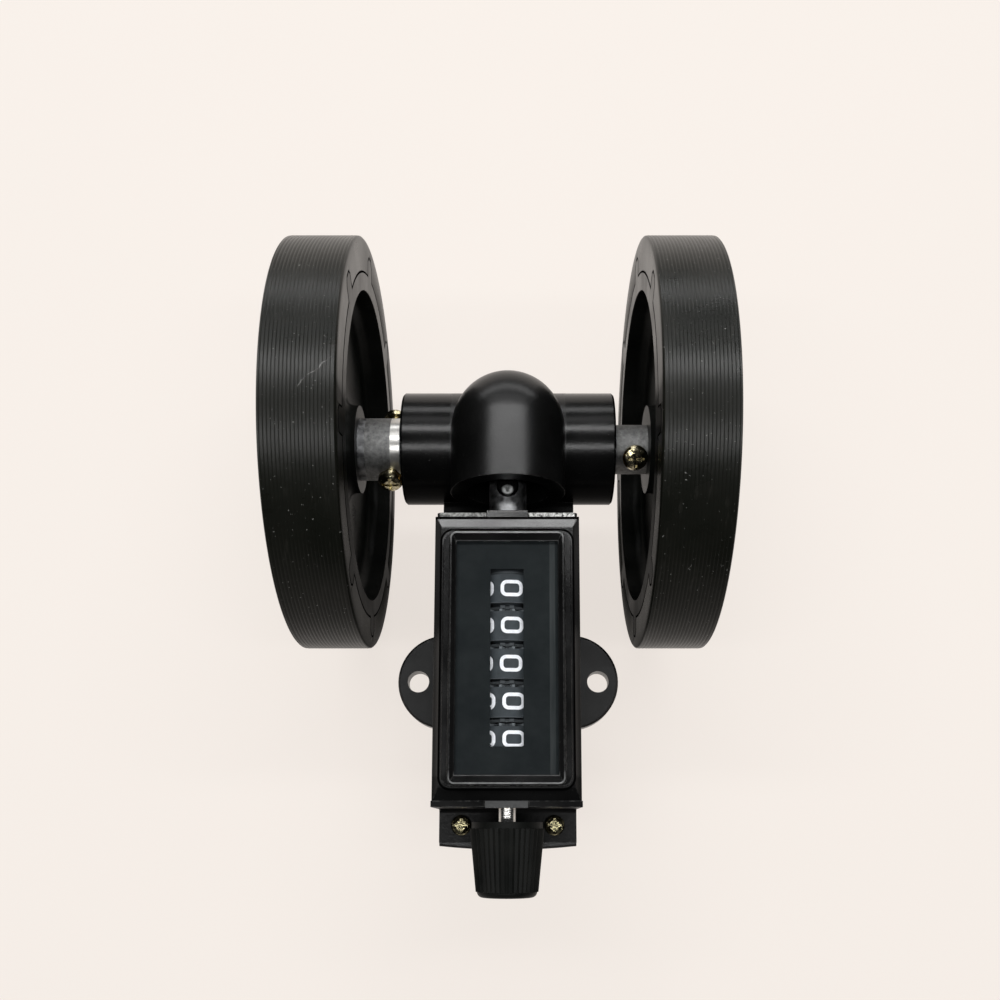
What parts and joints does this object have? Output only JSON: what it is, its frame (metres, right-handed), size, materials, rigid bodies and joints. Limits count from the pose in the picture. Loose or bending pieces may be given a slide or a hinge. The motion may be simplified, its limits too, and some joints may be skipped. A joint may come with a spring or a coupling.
{
  "type": "cable length counter",
  "caption": "Two rubber measuring wheels on one axle through a cross tube gearbox that drives a windowed number drum counter with a reset knob, on a flanged base.",
  "frame": {"origin": "midway between the two flange holes, on the flat rear face of the flange", "axes": "+X along the wheel axle to the right as the dial is seen, +Y from the reset knob to the gearbox, +Z out of the dial"},
  "size_m": [0.1052, 0.1684, 0.106],
  "materials": {
    "rubber": "satin",
    "wheel_plastic": "satin",
    "black_cast": "semi-gloss",
    "black_sheet": "satin",
    "steel": "satin",
    "dark_steel": "satin",
    "bronze": "satin",
    "screw_brass": "plated",
    "dial": "matt",
    "drum": "satin",
    "drive_plastic": "satin",
    "glass": "gloss",
    "knob": "matt"
  },
  "bodies": {
    "housing": {"gear_housing": "black_cast", "axle_bush_left": "bronze", "axle_bush_right": "bronze", "output_bearing": "bronze", "counter_frame": "black_sheet", "lower_end_plate": "black_sheet", "case_cover": "black_sheet", "bezel": "black_sheet", "dial_mask": "dial", "window_lens": "glass", "foot_screws": "screw_brass", "frame_screws": "screw_brass", "input_bush": "bronze", "reset_bush": "bronze", "pinion_shaft": "steel"},
    "axle_set": {"wheel_axle": "steel", "axle_gear": "steel", "wheel_core_left": "wheel_plastic", "wheel_core_right": "wheel_plastic", "tyre_left": "rubber", "tyre_right": "rubber", "thrust_washer_left": "dark_steel", "thrust_washer_right": "dark_steel", "hub_spacer": "dark_steel", "hub_sleeve_left": "steel", "hub_sleeve_right": "steel", "sleeve_screws_left": "screw_brass", "sleeve_screws_right": "screw_brass"},
    "units_drive": {"output_gear": "bronze", "output_shaft": "steel", "output_spacer": "steel", "coupling_sleeve": "dark_steel", "coupling_screws": "dark_steel", "input_shaft": "steel", "number_drum_1": "drum"},
    "drum_2": {"number_drum_2": "drum"},
    "drum_3": {"number_drum_3": "drum"},
    "drum_4": {"number_drum_4": "drum"},
    "drum_5": {"number_drum_5": "drum"},
    "pinion_1": {"transfer_pinion_1": "drive_plastic"},
    "pinion_2": {"transfer_pinion_2": "drive_plastic"},
    "pinion_3": {"transfer_pinion_3": "drive_plastic"},
    "pinion_4": {"transfer_pinion_4": "drive_plastic"},
    "reset_set": {"reset_shaft": "steel", "stop_collar": "steel", "reset_knob": "knob"}
  },
  "joints": [
    {"name": "axle_spin", "type": "hinge", "parent": "housing", "child": "axle_set", "pos_m": [0, 0.0625, 0.005], "axis": [1, 0, 0], "continuous": true},
    {"name": "units_spin", "type": "hinge", "parent": "housing", "child": "units_drive", "pos_m": [0, 0.0305, 0.0195], "axis": [0, 1, 0], "continuous": true},
    {"name": "reset_turn", "type": "hinge", "parent": "housing", "child": "reset_set", "pos_m": [0, -0.043, 0.0195], "axis": [0, 1, 0], "continuous": true},
    {"name": "drum_2_spin", "type": "hinge", "parent": "housing", "child": "drum_2", "pos_m": [0, 0.01, 0.0195], "axis": [0, 1, 0], "continuous": true},
    {"name": "drum_3_spin", "type": "hinge", "parent": "housing", "child": "drum_3", "pos_m": [0, 0.001, 0.0195], "axis": [0, 1, 0], "continuous": true},
    {"name": "drum_4_spin", "type": "hinge", "parent": "housing", "child": "drum_4", "pos_m": [0, -0.008, 0.0195], "axis": [0, 1, 0], "continuous": true},
    {"name": "drum_5_spin", "type": "hinge", "parent": "housing", "child": "drum_5", "pos_m": [0, -0.017, 0.0195], "axis": [0, 1, 0], "continuous": true},
    {"name": "pinion_1_spin", "type": "hinge", "parent": "housing", "child": "pinion_1", "pos_m": [-0.00891, 0.0145, 0.01059], "axis": [0, 1, 0], "continuous": true},
    {"name": "pinion_2_spin", "type": "hinge", "parent": "housing", "child": "pinion_2", "pos_m": [-0.00891, 0.0055, 0.01059], "axis": [0, 1, 0], "continuous": true},
    {"name": "pinion_3_spin", "type": "hinge", "parent": "housing", "child": "pinion_3", "pos_m": [-0.00891, -0.0035, 0.01059], "axis": [0, 1, 0], "continuous": true},
    {"name": "pinion_4_spin", "type": "hinge", "parent": "housing", "child": "pinion_4", "pos_m": [-0.00891, -0.0125, 0.01059], "axis": [0, 1, 0], "continuous": true}
  ],
  "couplings": [
    {"joint": "units_spin", "follows": "axle_spin", "ratio": -0.33333},
    {"joint": "drum_2_spin", "follows": "axle_spin", "ratio": -0.033333},
    {"joint": "drum_3_spin", "follows": "axle_spin", "ratio": -0.0033333},
    {"joint": "drum_4_spin", "follows": "axle_spin", "ratio": -0.00033333},
    {"joint": "drum_5_spin", "follows": "axle_spin", "ratio": -0.000033333},
    {"joint": "pinion_1_spin", "follows": "axle_spin", "ratio": 0.083333},
    {"joint": "pinion_2_spin", "follows": "axle_spin", "ratio": 0.0083333},
    {"joint": "pinion_3_spin", "follows": "axle_spin", "ratio": 0.00083333},
    {"joint": "pinion_4_spin", "follows": "axle_spin", "ratio": 0.000083333}
  ]
}
